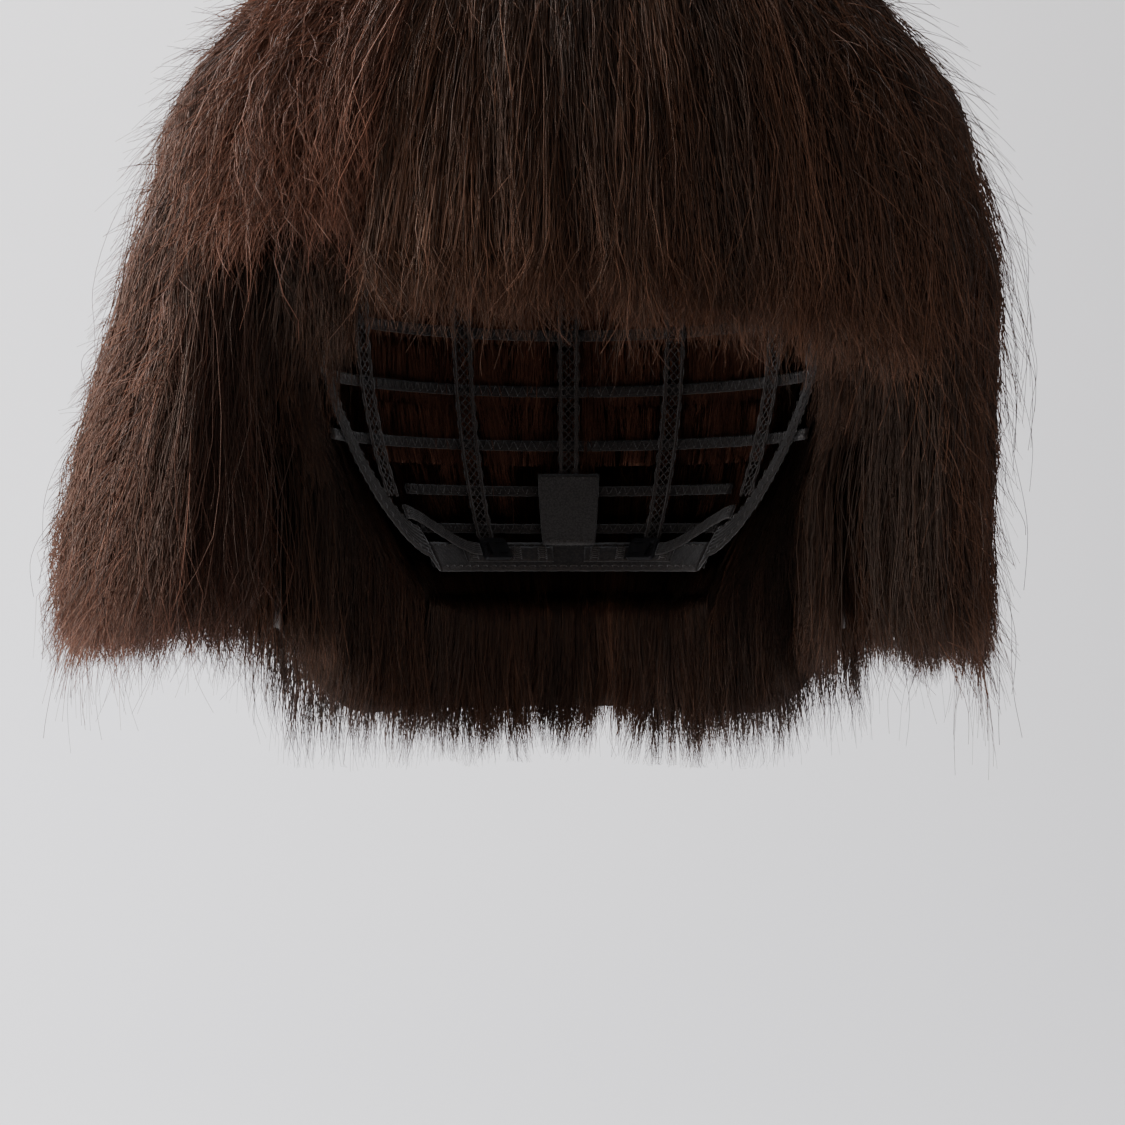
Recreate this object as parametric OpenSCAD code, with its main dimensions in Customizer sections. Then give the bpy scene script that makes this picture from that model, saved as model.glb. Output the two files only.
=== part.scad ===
// A short bob costume wig: a sewn cap (net crown, bands, ribbons, adjusters), rows of weft
// and the hair that hangs from them. Millimetres. The origin is where the head sits: the middle
// of the head, level with the front hairline. +Z is up and the wearer faces -Y. Left and right
// are the wearer's, so left is +X.
//
// Azimuth is 0 at the forehead, 90 at the wearer's left ear and 180 at the nape.
// The cap lies on a head form: an ellipse in plan, domed above its widest level and drawn in below.
// The hair is a thick skin around the cap, and its soft solids fill that skin without overlapping.

/* [Head] */
// Breadth of the head that the cap fits
head_w = 150; // [135:1:182]
// Length of that head, front to back
head_l = 190; // [170:1:230]
// Height of the crown above the head's widest level
dome_h = 88; // [72:1:100]
// How quickly the head draws in towards the neck: larger is slower
nape_h = 120; // [98:1:146]
// Height of the front hairline above the head's widest level
hairline_h = 25; // [20:1:31]

/* [Cap] */
// Thickness of the bands and ribbons
band_t = 1.2; // [0.8:0.1:1.6]
// Thickness of the crown net
net_t = 0.5; // [0.4:0.1:0.8]
// Thickness of a weft track
track_t = 1.5; // [1:0.1:2]
// Gap left between one sewn layer and the next
layer_gap = 0.5; // [0.4:0.05:0.6]
// Height of a band or track row, in degrees of the head form
band_deg = 6; // [5:0.5:7.5]
// Half width of each stretch lace ribbon, in degrees of azimuth
ribbon_deg = 3; // [2:0.5:4]

/* [Adjusters] */
// Length of an adjuster hook along the nape
hook_l = 10; // [8:0.5:12]
// Height of an adjuster hook
hook_h = 8; // [6.5:0.5:9.5]
// Thickness of the hook's plate
hook_t = 1.4; // [1.1:0.1:1.7]
// Loops that each hook can be moved to
loop_count = 4; // [3:1:4]
// Angle from one loop to the next, about the middle of the nape's curve
loop_pitch = 12; // [10:0.5:13]
// Angle of the innermost loop from the middle of the nape
loop_first = 12; // [11:0.5:14]
// Loop that the hooks rest in, counted from the middle
loop_rest = 2; // [1:1:2]

/* [Hair] */
// How far the hair stands out from each side of the head at its widest level
side_volume = 49; // [40:1:60]
// How far the hair stands out from the forehead
front_volume = 17; // [14:1:26]
// How far the hair stands out from the back of the head
back_volume = 27; // [16:1:36]
// Height of the hair above the top of the head
top_volume = 25; // [18:1:34]
// Height of the hair's widest level below the hairline
hair_level = 35; // [30:1:42]
// How far the tips flare out on average
flare = 6.5; // [2:0.5:12]
// How much further the right side flares out than the average
flare_side = 11.5; // [4:0.5:14]
// Depth of the fringe's hem below the hairline
fringe_hem = 48; // [44:1:62]
// How much deeper the fringe hangs at its left end
fringe_drop = 12; // [0:1:14]
// Depth of the short step at the right of the fringe
tier_hem = 26; // [8:1:31]
// Depth of the outer hair's hem at the right
hem_right = 132; // [110:1:145]
// Depth of the outer hair's hem at the left
hem_left = 138; // [115:1:145]
// Depth of the outer hair's hem at the back
hem_back = 150; // [125:1:155]
// Depth of the inner hair's hem at the nape, where it is longest
hem_nape = 166; // [158:1:199]
// Depth of the inner hair's hem at the ears
hem_ear = 138; // [125:1:150]

/* [Hidden] */

cap_colour = "#17120f";
lace_colour = "#221a16";
hair_colour = "#2b1a14";
lit_hair_colour = "#432720";
plastic_colour = "#0e0e0f";
label_colour = "#d8d4cc";

// Layers of the cap, as distances out from the head form
net_in = band_t + layer_gap;
track_in = net_in + net_t + layer_gap;
hair_in = track_in + track_t + 2.2 * layer_gap;

// Key directions, in degrees of azimuth
tab_front = 60;
tab_back = 76;
ear_back = 128;
back_start = 122;
curtain_front = 52;
tier_front = 24;
temple_front = 34;
// Key heights on the head form, in degrees above its widest level
front_edge = asin(hairline_h / dome_h);
temple_edge = 4;
tab_tip = -17;
ear_edge = -5;
nape_edge = -48;
net_edge = 36;
closure_edge = 80;
// Rows of weft, by the height of each in degrees, and the height of one row
fringe_rows = [22, 27, 32];
side_rows = [4, 11, 18, 25, 32];
back_rows = [-24, -15, -6, 3, 12, 21, 30];
nape_rows = [-46, -39, -32];
top_rows = [40, 48, 56, 64, 72];
track_deg = 2;
// Largest step of a mesh in degrees of azimuth, the gap at a seam in degrees, and the gap to add
// where the hair on each side has another hem
grid = 7.5;
seam = 0.35;
hem_seam = 0.8;

function clamp01(t) = max(0, min(1, t));
function smooth(t) = let (c = clamp01(t)) c * c * (3 - 2 * c);
function mix(a, b, t) = a + (b - a) * t;
function steps(a, b, n) = [for (i = [0:n]) mix(a, b, i / n)];
function arc_steps(a, b) = steps(a, b, max(1, round(abs(b - a) / grid)));

// An azimuth folded to 0 to 180, the same on both sides
function side_of(a) = abs(a > 180 ? a - 360 : a);

// A point of the head form at azimuth a and height e in degrees, moved out by off
function form(a, e, off) = [
    (head_w / 2 + off) * cos(e) * sin(a),
    -(head_l / 2 + off) * cos(e) * cos(a),
    -hairline_h + ((e > 0 ? dome_h : nape_h) + off) * sin(e)
];

// The cap's lower edge: across the forehead, round the ears and down to the nape
function edge(a) =
    let (b = side_of(a))
    b < tab_front ? mix(front_edge, temple_edge, pow(b / tab_front, 2))
    : b < ear_back ? mix(mix(temple_edge, ear_edge, smooth((b - tab_front) / (tab_back - tab_front))),
        nape_edge + 3, smooth((b - tab_back - 4) / (ear_back - tab_back - 4)))
    : nape_edge;

// A closed solid between the skins s0 and s1 of the surface P(u, v, s). us runs with the azimuth
// and vs runs upwards. ring joins the last u to the first; apex closes the top at that v.
module skin(P, us, vs, s0, s1, ring = false, apex = undef) {
    nu = len(us);
    nv = len(vs);
    layer = nu * nv;
    last = ring ? nu - 1 : nu - 2;
    id = function (i, j, k) k * layer + j * nu + (i % nu);
    quad = function (a, b, c, d) [[a, b, c], [a, c, d]];
    walls = [for (j = [0:nv - 2], i = [0:last]) each concat(
        quad(id(i, j, 0), id(i + 1, j, 0), id(i + 1, j + 1, 0), id(i, j + 1, 0)),
        quad(id(i, j, 1), id(i, j + 1, 1), id(i + 1, j + 1, 1), id(i + 1, j, 1)))];
    ends = ring ? [] : [for (j = [0:nv - 2]) each concat(
        quad(id(0, j, 0), id(0, j + 1, 0), id(0, j + 1, 1), id(0, j, 1)),
        quad(id(nu - 1, j, 0), id(nu - 1, j, 1), id(nu - 1, j + 1, 1), id(nu - 1, j + 1, 0)))];
    foot = [for (i = [0:last]) each
        quad(id(i, 0, 0), id(i, 0, 1), id(i + 1, 0, 1), id(i + 1, 0, 0))];
    t = nv - 1;
    top = is_undef(apex)
        ? [for (i = [0:last]) each
            quad(id(i, t, 0), id(i + 1, t, 0), id(i + 1, t, 1), id(i, t, 1))]
        : [for (i = [0:last]) each [
            [id(i, t, 0), id(i + 1, t, 0), 2 * layer],
            [id(i + 1, t, 1), id(i, t, 1), 2 * layer + 1]]];
    points = concat(
        [for (s = [s0, s1], v = vs, u = us) P(u, v, s)],
        is_undef(apex) ? [] : [P(0, apex, s0), P(0, apex, s1)]);
    polyhedron(points, concat(walls, ends, foot, top));
}

// A sewn strip on the head form, from azimuth a0 to a1, rising by rise above low(a)
module strip(a0, a1, low, rise, in, t, rows = 1) {
    skin(function (a, v, s) form(a, low(a) + v * rise, s),
        arc_steps(a0, a1), steps(0, 1, rows), in, in + t);
}

// side is +1 for the wearer's left and -1 for the right
module sided(side) {
    if (side > 0) children();
    else mirror([1, 0, 0]) children();
}

// ---- the cap ----

module crown_net() {
    low = function (a) mix(edge(a) + 2, net_edge - 1, smooth((side_of(a) - 80) / 24));
    color(lace_colour)
        skin(function (a, v, s) form(a, mix(low(a), closure_edge - 1, v), s),
            [for (a = [0:grid:360 - grid]) a], steps(0, 1, 14), net_in, net_in + net_t, ring = true);
}

module crown_closure() {
    color(cap_colour)
        skin(function (a, e, s) form(a, e, s), [for (a = [0:2 * grid:360 - grid]) a],
            [closure_edge - 2, closure_edge + 4], track_in, track_in + net_t, ring = true, apex = 90);
}

module crown_ribbon() {
    color(lace_colour)
        strip(100, 260, function (a) net_edge - band_deg / 2, band_deg, 0, band_t);
}

module front_band() {
    color(cap_colour)
        strip(seam - tab_front, tab_front - seam, function (a) edge(a), band_deg + 1.5, 0, band_t, 2);
}

module nape_band() {
    color(cap_colour)
        strip(ear_back + seam, 360 - ear_back - seam, function (a) nape_edge, band_deg, 0, band_t);
}

// The tab in front of the ear, rounded at its tip
module ear_tab(side) {
    mid = (tab_front + tab_back) / 2;
    half = (tab_back - tab_front) / 2;
    low = function (a) tab_tip + 5 * pow(abs(a - mid) / half, 3);
    sided(side) color(cap_colour)
        skin(function (a, v, s) form(a, mix(low(a), temple_edge + 9, v), s),
            steps(tab_front, tab_back - seam, 6), steps(0, 1, 5), 0, band_t);
}

// The springy strip that keeps the tab against the temple
module ear_stay(side) {
    mid = (tab_front + tab_back) / 2;
    sided(side) color(plastic_colour)
        strip(mid - 1.5, mid + 1.5, function (a) tab_tip + 1.5, 10, net_in, net_t, rows = 2);
}

module ear_elastic(side) {
    sided(side) color(lace_colour)
        strip(tab_back, ear_back, function (a) edge(a), band_deg, 0, band_t);
}

// A stretch lace ribbon that rises from the band at edge_e to the crown ribbon
module lace_ribbon(a, edge_e) {
    foot = edge_e + band_deg + seam;
    head = net_edge - band_deg / 2 - seam;
    color(lace_colour)
        strip(a - ribbon_deg, a + ribbon_deg, function (x) foot, head - foot, 0, band_t, 8);
}

module back_ribbon(a) { lace_ribbon(a, nape_edge); }

module side_ribbon(side) {
    a = ear_back - 8;
    sided(side) lace_ribbon(a, edge(a - ribbon_deg));
}

// ---- the adjusters: the nape is close to a circle of this radius around this middle ----

adjust_e = nape_edge + band_deg / 2;
tape_t = 0.5;
loop_t = 0.8;
strap_t = 0.8;
// Clearance between the loops and the hook that rides over them
hook_gap = 0.5;
hook_off = -(layer_gap + tape_t + loop_t + hook_gap + hook_t);
nape_a = (head_w / 2 + hook_off) * cos(adjust_e);
nape_b = (head_l / 2 + hook_off) * cos(adjust_e);
nape_r = nape_a * nape_a / nape_b;
nape_y = nape_b - nape_r;
nape_z = -hairline_h + (nape_h + hook_off) * sin(adjust_e);
nape_lean = atan((head_l / 2 + hook_off) * sin(-adjust_e) / ((nape_h + hook_off) * cos(adjust_e)));
rest_turn = loop_first + loop_rest * loop_pitch;
// Half height of a tape or loop, and of a strap, in degrees of the head form
tape_half = 1.6;
strap_half = 1.3;

// The azimuth on the head form that a turn from the middle of the nape comes to
function nape_azimuth(turn) = 180 - asin(nape_r * sin(turn) / nape_a);

module adjuster_tape(side) {
    a0 = nape_azimuth(loop_first + (loop_count - 1) * loop_pitch + 5);
    a1 = nape_azimuth(loop_first - 5);
    sided(side) color(cap_colour) {
        strip(a0, a1, function (a) adjust_e - tape_half, 2 * tape_half, -layer_gap - tape_t, tape_t);
        for (i = [0:loop_count - 1]) {
            a = nape_azimuth(loop_first + i * loop_pitch);
            strip(a - tape_half, a + tape_half, function (x) adjust_e - tape_half, 2 * tape_half,
                -layer_gap - tape_t - loop_t, loop_t);
        }
    }
}

// The elastic from the ear band to the hook. It stretches as the hook moves
module adjuster_strap(side) {
    end_turn = rest_turn + (hook_l / 2 + 1) / nape_r * 180 / PI;
    start = nape_azimuth(end_turn);
    finish = ear_back - 10;
    anchor = edge(finish) + band_deg / 2;
    low = function (a) mix(adjust_e, anchor, smooth((start - a) / (start - finish))) - strap_half;
    sided(side) color(cap_colour)
        strip(finish, start, low, 2 * strap_half, hook_off + 0.3, strap_t);
}

// A flat plastic hook: a plate with a slot for the elastic and a tongue folded out towards the loops
module adjuster_hook(side) {
    slot_w = 1.8;
    cut_w = 0.6;
    corner = 1.2;
    tongue_l = hook_l * 0.45 - 1;
    tongue_h = hook_h * 0.45;
    through = hook_t + 2;
    sided(side) color(plastic_colour)
        translate([0, nape_y, nape_z]) rotate([0, 0, -rest_turn]) translate([0, nape_r, 0])
            rotate([-nape_lean, 0, 0]) rotate([90, 0, 0]) translate([0, 0, -hook_t]) {
                difference() {
                    linear_extrude(hook_t) union() {
                        square([hook_l - 2 * corner, hook_h], center = true);
                        square([hook_l, hook_h - 2 * corner], center = true);
                        for (x = [-1, 1], y = [-1, 1])
                            translate([x * (hook_l / 2 - corner), y * (hook_h / 2 - corner)])
                                circle(corner, $fn = 24);
                    }
                    translate([hook_l / 2 - corner - slot_w, -hook_h / 2 + corner, -1])
                        cube([slot_w, hook_h - 2 * corner, through]);
                    for (y = [-tongue_h / 2 - cut_w, tongue_h / 2])
                        translate([-hook_l / 2 + corner, y, -1])
                            cube([tongue_l, cut_w, through]);
                }
            }
}

module care_label() {
    half = 9;
    low = nape_edge + band_deg - 1;
    color(label_colour)
        strip(180 - half, 180 + half, function (a) low, 14, -layer_gap - tape_t, tape_t, 2);
}

// ---- the weft tracks: rows of close stitching that the hair is sewn into ----

module weft_rows(a0, a1, rows) {
    color(cap_colour)
        for (e = rows)
            strip(a0, a1, function (a) e, track_deg, track_in, track_t);
}

module fringe_wefts() { weft_rows(2 - tab_front, tab_front - 2, fringe_rows); }
module side_wefts_left() { weft_rows(tab_front, 98, side_rows); }
module side_wefts_right() { mirror([1, 0, 0]) side_wefts_left(); }
module back_wefts() { weft_rows(100, 260, back_rows); }
module nape_wefts() { weft_rows(ear_back + 2, 358 - ear_back, nape_rows); }

module top_wefts() {
    color(cap_colour)
        for (e = top_rows)
            skin(function (a, v, s) form(a, e + track_deg * v, s), [for (a = [0:10:350]) a], [0, 1],
                track_in, track_in + track_t, ring = true);
}

// ---- the hair: w runs from 0 at the crown to 1 at the widest level and 2 at the hem ----

hair_half_w = head_w / 2 + side_volume;
hair_dome_h = hair_level + dome_h - hairline_h + top_volume;

function reach(a) = head_l / 2 + (cos(a) > 0 ? front_volume : back_volume);

// Share of the head form that the inner face narrows to, past the jaw and down the neck
jaw_fit = 0.86;
neck_fit = 0.58;
// The front edges of the inner hair sweep back by this angle, from this depth down
sweep_back = 14;
sweep_depth = 30;
sweep_run = 45;
// The flare starts at this depth and is full this much lower
flare_depth = 10;
flare_run = 110;

// The inner face: on the cap, then hanging past the jaw at the sides and down to the neck at the back
function draw_in(a, z) =
    let (least = mix(jaw_fit, neck_fit, smooth((side_of(a) - 85) / 50)),
        below = min(0.99, (-hairline_h - z) / (nape_h + hair_in)))
    max(least, sqrt(1 - below * below));

function inner_skin(a, w, hem) =
    w <= 1 ? form(a, 90 * (1 - w), hair_in)
    : let (z = mix(-hairline_h, -hem, w - 1), k = draw_in(a, z))
        [(head_w / 2 + hair_in) * k * sin(a), -(head_l / 2 + hair_in) * k * cos(a), z];

// The outer face: a full dome, then a curtain that flares towards its tips
function outer_skin(a, w, hem) =
    let (e = 90 * max(0, 1 - w),
        z = w <= 1 ? -hair_level + hair_dome_h * sin(e) : mix(-hair_level, -hem, w - 1),
        out = (flare - flare_side * sin(a)) * smooth((-flare_depth - z) / flare_run))
    [(hair_half_w * cos(e) + out) * sin(a), -(reach(a) * cos(e) + out) * cos(a), z];

// The azimuth of hair that starts at azimuth a, once the front edge by the face has swept back
function swept(a, w, s, hem) =
    let (b = side_of(a), way = a > 180 || a < 0 ? -1 : 1, depth = mix(hairline_h, hem, w - 1),
        near = b < tab_front ? smooth((b - 45) / 15) : 1 - smooth((b - tab_front) / 62))
    a + way * sweep_back * (1 - 0.8 * s) * near * smooth((depth - sweep_depth) / sweep_run);

// The point s of the way from the inner face to the outer face
function hair_point(a, w, s, hem) =
    let (b = swept(a, w, s, hem))
    mix(inner_skin(b, w, hem), outer_skin(b, w, hem), s);

// Share of the hair's thickness taken by the under hair
function under_share(w) = 0.5 * smooth((w - 0.5) / 0.35);
under_gap = 0.055;

crown_end = 0.13;

// Levels of w for the meshes: hem to widest level, then up the under hair and over the dome
curtain_levels = [2, 1.85, 1.7, 1.57, 1.46, 1.36, 1.27, 1.18, 1.09, 1];
under_levels = [0.91, 0.82, 0.73, 0.64];
dome_levels = concat(under_levels, [0.55, 0.46, 0.37, 0.28, 0.2, crown_end]);

// Hair on the outside, from the crown to its hem
module outer_lock(a0, a1, hem, n, ws = concat(curtain_levels, dome_levels)) {
    skin(function (a, w, s) hair_point(a, w, s < 0.5 ? under_share(w) : 1, hem(a)),
        steps(a0 + seam / 2, a1 - seam / 2, n), ws, 0, 1);
}

// Longer hair under it, which starts lower down the cap
module under_lock(a0, a1, hem, n) {
    skin(function (a, w, s) hair_point(a, w, s * (under_share(w) - under_gap), hem(a)),
        steps(a0 + seam / 2, a1 - seam / 2, n), concat(curtain_levels, under_levels), 0, 1);
}

module crown_hair() {
    color(hair_colour)
        skin(function (a, w, s) hair_point(a, w, s, hem_back), [for (a = [0:15:345]) a],
            [crown_end - 0.006, crown_end / 2], 0, 1, ring = true, apex = 0);
}

// Full-depth fringe over the forehead
module fringe_hair() {
    hem = function (a) fringe_hem + fringe_drop * smooth(a / tab_front) - 3 * smooth(-a / tier_front);
    color(hair_colour)
        skin(function (a, w, s) hair_point(a, w, s, hem(a)),
            steps(seam / 2 - tier_front, curtain_front - seam / 2 - hem_seam, 11),
            concat([2, 1.5, 1], dome_levels), 0, 1);
}

// The shorter step beside it, cut off above the hair's widest level
module fringe_tier() {
    tier_w = 1 - asin((hair_level - tier_hem) / hair_dome_h) / 90;
    color(lit_hair_colour)
        outer_lock(-curtain_front, -tier_front, function (a) hem_right, 4, concat([tier_w], dome_levels));
}

// Hair on the temples, under the outer hair: the right temple's reaches further forward, under the step
function temple_hem(b) = hair_level + mix(6, 45, smooth((b - temple_front - 2) / 24));

module temple_hair_right() {
    color(hair_colour) under_lock(hem_seam - tab_front, -temple_front, function (a) temple_hem(-a), 4);
}
module temple_hair_left() {
    color(hair_colour) under_lock(curtain_front, tab_front - hem_seam, function (a) temple_hem(a), 2);
}

module side_hair_right() {
    color(lit_hair_colour) outer_lock(-back_start, -curtain_front, function (a) hem_right, 9);
}
module side_hair_left() {
    color(hair_colour) outer_lock(curtain_front, back_start, function (a) hem_left, 9);
}

// The hem runs from the sides' depth to the back's within this angle
hem_turn = 30;
function back_hem(b, side_hem) = mix(side_hem, hem_back, smooth((b - back_start) / hem_turn));

module back_hair_left() {
    color(hair_colour) outer_lock(back_start, 180, function (a) back_hem(a, hem_left), 8);
}
module back_hair_right() {
    color(hair_colour) outer_lock(180, 360 - back_start, function (a) back_hem(360 - a, hem_right), 8);
}

function under_hem(a) = mix(hem_ear, hem_nape, smooth((side_of(a) - tab_back) / 44));

module under_hair(a0, a1) {
    color(hair_colour) under_lock(a0, a1, function (a) under_hem(a), 8);
}

crown_net();
crown_closure();
crown_ribbon();
front_band();
nape_band();
ear_tab(1);  // ear_tab_left
ear_tab(-1);  // ear_tab_right
ear_stay(1);  // ear_stay_left
ear_stay(-1);  // ear_stay_right
ear_elastic(1);  // ear_elastic_left
ear_elastic(-1);  // ear_elastic_right
back_ribbon(180);  // back_ribbon_centre
back_ribbon(152);  // back_ribbon_left
back_ribbon(208);  // back_ribbon_right
side_ribbon(1);  // side_ribbon_left
side_ribbon(-1);  // side_ribbon_right
adjuster_tape(1);  // adjuster_tape_left
adjuster_tape(-1);  // adjuster_tape_right
adjuster_strap(1);  // adjuster_strap_left
adjuster_strap(-1);  // adjuster_strap_right
adjuster_hook(1);  // adjuster_hook_left
adjuster_hook(-1);  // adjuster_hook_right
care_label();
fringe_wefts();
top_wefts();
side_wefts_left();
side_wefts_right();
back_wefts();
nape_wefts();
crown_hair();
fringe_hair();
fringe_tier();
temple_hair_left();
temple_hair_right();
side_hair_left();
side_hair_right();
under_hair(tab_front, back_start);  // under_hair_left
under_hair(-back_start, -tab_front);  // under_hair_right
back_hair_left();
back_hair_right();
under_hair(back_start, 180);  // nape_hair_left
under_hair(180, 360 - back_start);  // nape_hair_right
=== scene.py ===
"""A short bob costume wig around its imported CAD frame: a sewn cap and hair made of real strands.

Metres, in the frame of the CAD part: the origin is where the head sits, +Z is up, the wearer
faces -Y, and left and right are the wearer's. Azimuth is 0 at the forehead, 90 at the wearer's
left ear and 180 at the nape, as in the CAD source, and its head form and hair skins are used here.
"""

import math

import bpy
import numpy as np
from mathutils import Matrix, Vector


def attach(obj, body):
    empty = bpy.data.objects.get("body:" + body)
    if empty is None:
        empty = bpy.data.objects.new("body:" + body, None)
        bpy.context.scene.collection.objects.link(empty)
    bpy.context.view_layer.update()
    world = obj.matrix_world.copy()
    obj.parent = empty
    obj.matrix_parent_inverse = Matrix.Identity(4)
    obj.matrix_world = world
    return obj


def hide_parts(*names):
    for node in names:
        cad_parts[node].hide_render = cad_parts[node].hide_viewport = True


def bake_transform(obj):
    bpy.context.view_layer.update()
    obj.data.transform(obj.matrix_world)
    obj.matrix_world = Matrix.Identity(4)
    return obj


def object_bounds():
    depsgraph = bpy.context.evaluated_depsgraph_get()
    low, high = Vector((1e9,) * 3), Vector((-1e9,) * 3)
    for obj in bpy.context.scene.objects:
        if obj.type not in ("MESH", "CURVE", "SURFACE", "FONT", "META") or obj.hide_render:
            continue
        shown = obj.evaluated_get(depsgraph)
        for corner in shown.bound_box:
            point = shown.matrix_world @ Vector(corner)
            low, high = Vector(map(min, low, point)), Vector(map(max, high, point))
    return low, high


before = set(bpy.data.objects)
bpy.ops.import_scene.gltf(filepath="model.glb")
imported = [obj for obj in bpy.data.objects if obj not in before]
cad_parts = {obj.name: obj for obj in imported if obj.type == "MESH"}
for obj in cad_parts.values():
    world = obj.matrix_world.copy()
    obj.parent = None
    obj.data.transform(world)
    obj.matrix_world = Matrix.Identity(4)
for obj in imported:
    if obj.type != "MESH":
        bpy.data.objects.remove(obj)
CAD_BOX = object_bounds()

# ---------------------------------------------------------------- sizes, as in the CAD part
HEAD_HALF_W, HEAD_HALF_L = 0.075, 0.095
DOME_H, NAPE_H, HAIRLINE_H = 0.088, 0.120, 0.025
BAND_T, NET_T, TRACK_T, LAYER_GAP = 0.0012, 0.0005, 0.0015, 0.0005
BAND_DEG, RIBBON_DEG, TRACK_DEG, SEAM = 6.0, 3.0, 2.0, 0.35
TAPE_T, LOOP_T, STRAP_T, HOOK_T, HOOK_GAP = 0.0005, 0.0008, 0.0008, 0.0014, 0.0005
HAIR_HALF_W, HAIR_FRONT, HAIR_BACK = 0.124, 0.112, 0.122
HAIR_DOME_H, HAIR_LEVEL = 0.123, 0.035
FLARE, FLARE_SIDE, FLARE_DEPTH, FLARE_RUN = 0.0065, 0.0115, 0.010, 0.110
JAW_FIT, NECK_FIT, JAW_END, NECK_RUN = 0.86, 0.58, 85.0, 50.0
SWEEP_BACK, SWEEP_DEPTH, SWEEP_RUN = 14.0, 0.030, 0.045
SWEEP_START, SWEEP_IN, SWEEP_OUT, SWEEP_OUTER = 45.0, 15.0, 62.0, 0.8
HEM_FRINGE, FRINGE_DROP, HEM_TIER, HEM_RIGHT, HEM_LEFT = 0.048, 0.012, 0.026, 0.132, 0.138
HEM_BACK, HEM_NAPE, HEM_EAR = 0.150, 0.166, 0.138
TAB_FRONT, TAB_BACK, EAR_BACK, BACK_START = 60.0, 76.0, 128.0, 122.0
CURTAIN_FRONT, TIER_FRONT, TEMPLE_FRONT = 52.0, 24.0, 34.0
TEMPLE_EDGE, EAR_EDGE, TAB_TIP, NAPE_EDGE = 4.0, -5.0, -17.0, -48.0
EAR_LEAD, EAR_LIFT = 4.0, 3.0
NET_EDGE, CLOSURE_EDGE = 36.0, 80.0
FRONT_EDGE = math.degrees(math.asin(HAIRLINE_H / DOME_H))
NET_IN = BAND_T + LAYER_GAP
TRACK_IN = NET_IN + NET_T + LAYER_GAP
HAIR_IN = TRACK_IN + TRACK_T + 2.2 * LAYER_GAP

FRINGE_ROWS = (22, 27, 32)
SIDE_ROWS = (4, 11, 18, 25, 32)
BACK_ROWS = (-24, -15, -6, 3, 12, 21, 30)
NAPE_ROWS = (-46, -39, -32)
TOP_ROWS = (40, 48, 56, 64, 72)

SIDES = (("left", 1), ("right", -1))
FLAT = np.array([1.0, 1.0, 0.0])
TINY = 1e-12


def smooth(t):
    c = np.clip(t, 0, 1)
    return c * c * (3 - 2 * c)


def mix(a, b, t):
    return a + (b - a) * t


def side_of(a):
    """Azimuth folded to 0..180, the same on both sides."""
    return np.abs((np.asarray(a, float) + 180) % 360 - 180)


def stack(x, y, z):
    return np.stack(np.broadcast_arrays(x, y, z), -1)


def form(a, e, off):
    """Points of the head form at azimuth a and height e in degrees, moved out by off."""
    a, e = np.radians(a), np.radians(e)
    up = np.where(e > 0, DOME_H, NAPE_H)
    x = (HEAD_HALF_W + off) * np.cos(e) * np.sin(a)
    y = -(HEAD_HALF_L + off) * np.cos(e) * np.cos(a)
    return stack(x, y, -HAIRLINE_H + (up + off) * np.sin(e))


def cap_edge(a):
    """The cap's lower edge in degrees of height: forehead, round the ears, nape."""
    b = side_of(a)
    front = mix(FRONT_EDGE, TEMPLE_EDGE, (b / TAB_FRONT) ** 2)
    ear = mix(TEMPLE_EDGE, EAR_EDGE, smooth((b - TAB_FRONT) / (TAB_BACK - TAB_FRONT)))
    behind = smooth((b - TAB_BACK - EAR_LEAD) / (EAR_BACK - TAB_BACK - EAR_LEAD))
    ear = mix(ear, NAPE_EDGE + EAR_LIFT, behind)
    return np.where(b < TAB_FRONT, front, np.where(b < EAR_BACK, ear, NAPE_EDGE))


def inner_skin(a, w, hem):
    """The hair's inner face: w is 0 at the crown, 1 at the widest level and 2 at the hem."""
    dome = form(a, 90 * (1 - np.minimum(w, 1)), HAIR_IN)
    z = mix(-HAIRLINE_H, -hem, w - 1)
    least = mix(JAW_FIT, NECK_FIT, smooth((side_of(a) - JAW_END) / NECK_RUN))
    below = np.clip((-HAIRLINE_H - z) / (NAPE_H + HAIR_IN), 0, 0.99)
    k = np.maximum(least, np.sqrt(1 - below**2))
    ra = np.radians(a)
    x = (HEAD_HALF_W + HAIR_IN) * k * np.sin(ra)
    hang = stack(x, -(HEAD_HALF_L + HAIR_IN) * k * np.cos(ra), z)
    return np.where((w <= 1)[..., None], dome, hang)


def outer_skin(a, w, hem):
    """The hair's outer face: a full dome, then a curtain that flares towards its tips."""
    ra = np.radians(a)
    e = np.radians(90 * np.maximum(0, 1 - w))
    z = np.where(w <= 1, -HAIR_LEVEL + HAIR_DOME_H * np.sin(e), mix(-HAIR_LEVEL, -hem, w - 1))
    out = (FLARE - FLARE_SIDE * np.sin(ra)) * smooth((-FLARE_DEPTH - z) / FLARE_RUN)
    reach = np.where(np.cos(ra) > 0, HAIR_FRONT, HAIR_BACK)
    x = (HAIR_HALF_W * np.cos(e) + out) * np.sin(ra)
    return stack(x, -(reach * np.cos(e) + out) * np.cos(ra), z)


def swept(a, w, s, hem):
    """The azimuth of hair rooted at azimuth a, once the front edge by the face has swept back."""
    b = side_of(a)
    way = np.where((np.asarray(a) + 180) % 360 >= 180, 1, -1)
    before, behind = smooth((b - SWEEP_START) / SWEEP_IN), 1 - smooth((b - TAB_FRONT) / SWEEP_OUT)
    near = np.where(b < TAB_FRONT, before, behind)
    low = smooth((mix(HAIRLINE_H, hem, w - 1) - SWEEP_DEPTH) / SWEEP_RUN)
    return a + way * SWEEP_BACK * (1 - SWEEP_OUTER * s) * near * low


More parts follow.
